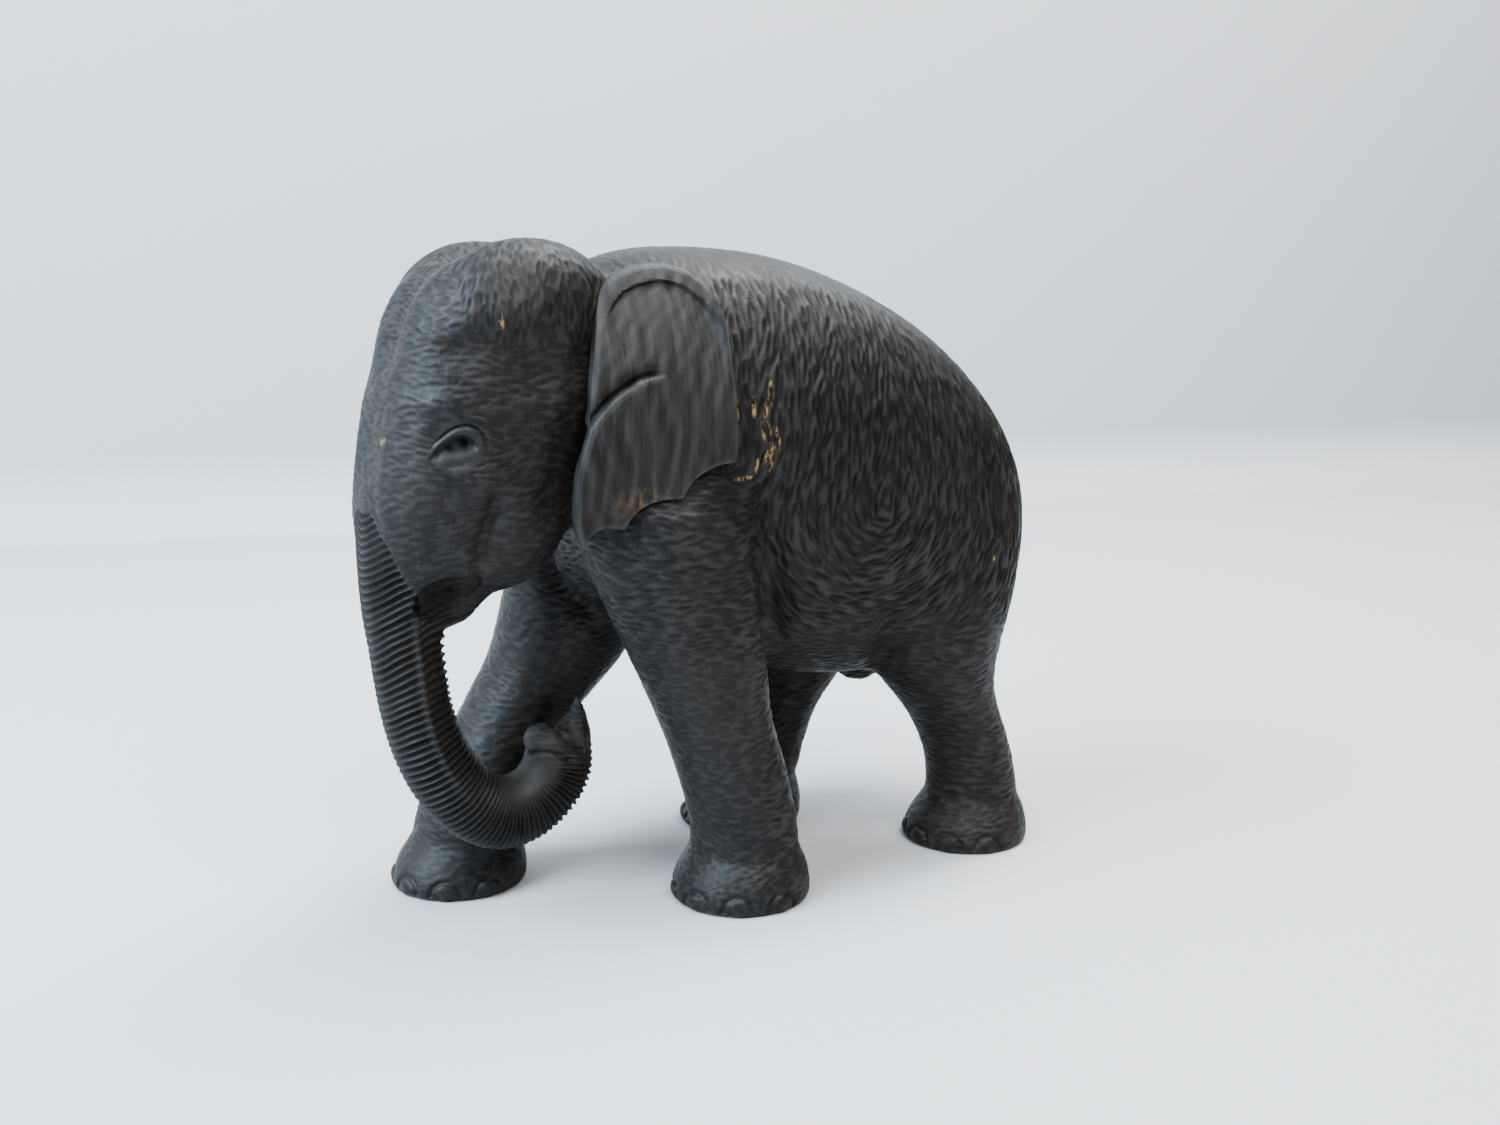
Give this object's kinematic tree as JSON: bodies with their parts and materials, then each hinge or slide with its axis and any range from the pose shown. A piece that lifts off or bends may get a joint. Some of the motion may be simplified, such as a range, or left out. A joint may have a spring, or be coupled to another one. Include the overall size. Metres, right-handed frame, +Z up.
{
  "type": "carved wooden elephant",
  "caption": "Dark wood carving of a walking elephant with a ribbed, curled trunk, laid-back ears and flat soles, built from glued and dowelled blocks.",
  "frame": {"origin": "centre of the object's footprint box, on the surface it stands on", "axes": "+X from the head towards the tail, +Z up; the elephant faces -X and its left side is towards -Y"},
  "size_m": [0.1906, 0.0871, 0.1641],
  "materials": {
    "ebony": "semi-matte, hand-gouged",
    "dowel_wood": "raw, turned"
  },
  "bodies": {
    "root": {"body_block": "ebony", "head_block": "ebony", "trunk": "ebony", "front_left_leg": "ebony", "front_right_leg": "ebony", "hind_left_leg": "ebony", "hind_right_leg": "ebony", "left_ear": "ebony", "right_ear": "ebony", "tail": "ebony", "neck_dowel_upper": "dowel_wood", "neck_dowel_lower": "dowel_wood", "trunk_dowel": "dowel_wood", "front_left_dowel": "dowel_wood", "front_right_dowel": "dowel_wood", "hind_left_dowel": "dowel_wood", "hind_right_dowel": "dowel_wood", "left_ear_peg": "dowel_wood", "right_ear_peg": "dowel_wood"}
  },
  "joints": []
}
